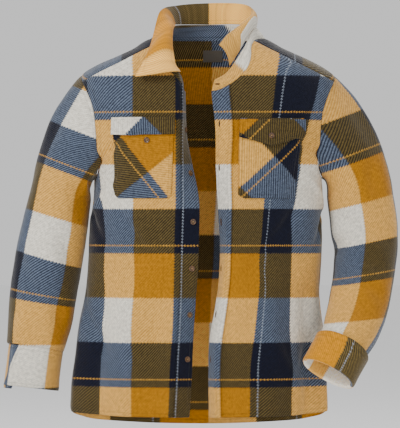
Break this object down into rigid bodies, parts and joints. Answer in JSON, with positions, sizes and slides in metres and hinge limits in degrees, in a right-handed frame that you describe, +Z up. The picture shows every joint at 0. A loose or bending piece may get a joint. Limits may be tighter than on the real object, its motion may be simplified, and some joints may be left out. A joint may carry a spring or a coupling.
{
  "type": "plaid fleece shirt jacket",
  "caption": "Open button-front shirt jacket in plaid fleece, filled out, with a turned-down collar, flapped bias-cut chest pockets and one turned-back cuff.",
  "frame": {"origin": "where the wearer's shoulders hold it: the middle of the base of the neck, on the shoulder line", "axes": "+Z up, +Y towards the wearer's back, +X towards the wearer's left; the front faces -Y"},
  "size_m": [0.7881, 0.3124, 0.852],
  "materials": {
    "plaid_fleece": "thick brushed plaid fleece",
    "button_horn": "brown horn-look plastic, softly polished",
    "label_tape": "plain woven tape"
  },
  "bodies": {
    "root": {"front_right": "plaid_fleece", "front_left": "plaid_fleece", "back": "plaid_fleece", "yoke": "plaid_fleece", "button_band": "plaid_fleece", "buttonhole_band": "plaid_fleece", "sleeve_right": "plaid_fleece", "sleeve_left": "plaid_fleece", "cuff_right": "plaid_fleece", "cuff_left": "plaid_fleece", "collar_stand": "plaid_fleece", "collar_leaf": "plaid_fleece", "pocket_right": "plaid_fleece", "pocket_left": "plaid_fleece", "flap_right": "plaid_fleece", "flap_left": "plaid_fleece", "button_1": "button_horn", "button_2": "button_horn", "button_3": "button_horn", "button_4": "button_horn", "button_5": "button_horn", "button_6": "button_horn", "flap_button_right": "button_horn", "flap_button_left": "button_horn", "neck_label": "label_tape"}
  },
  "joints": []
}
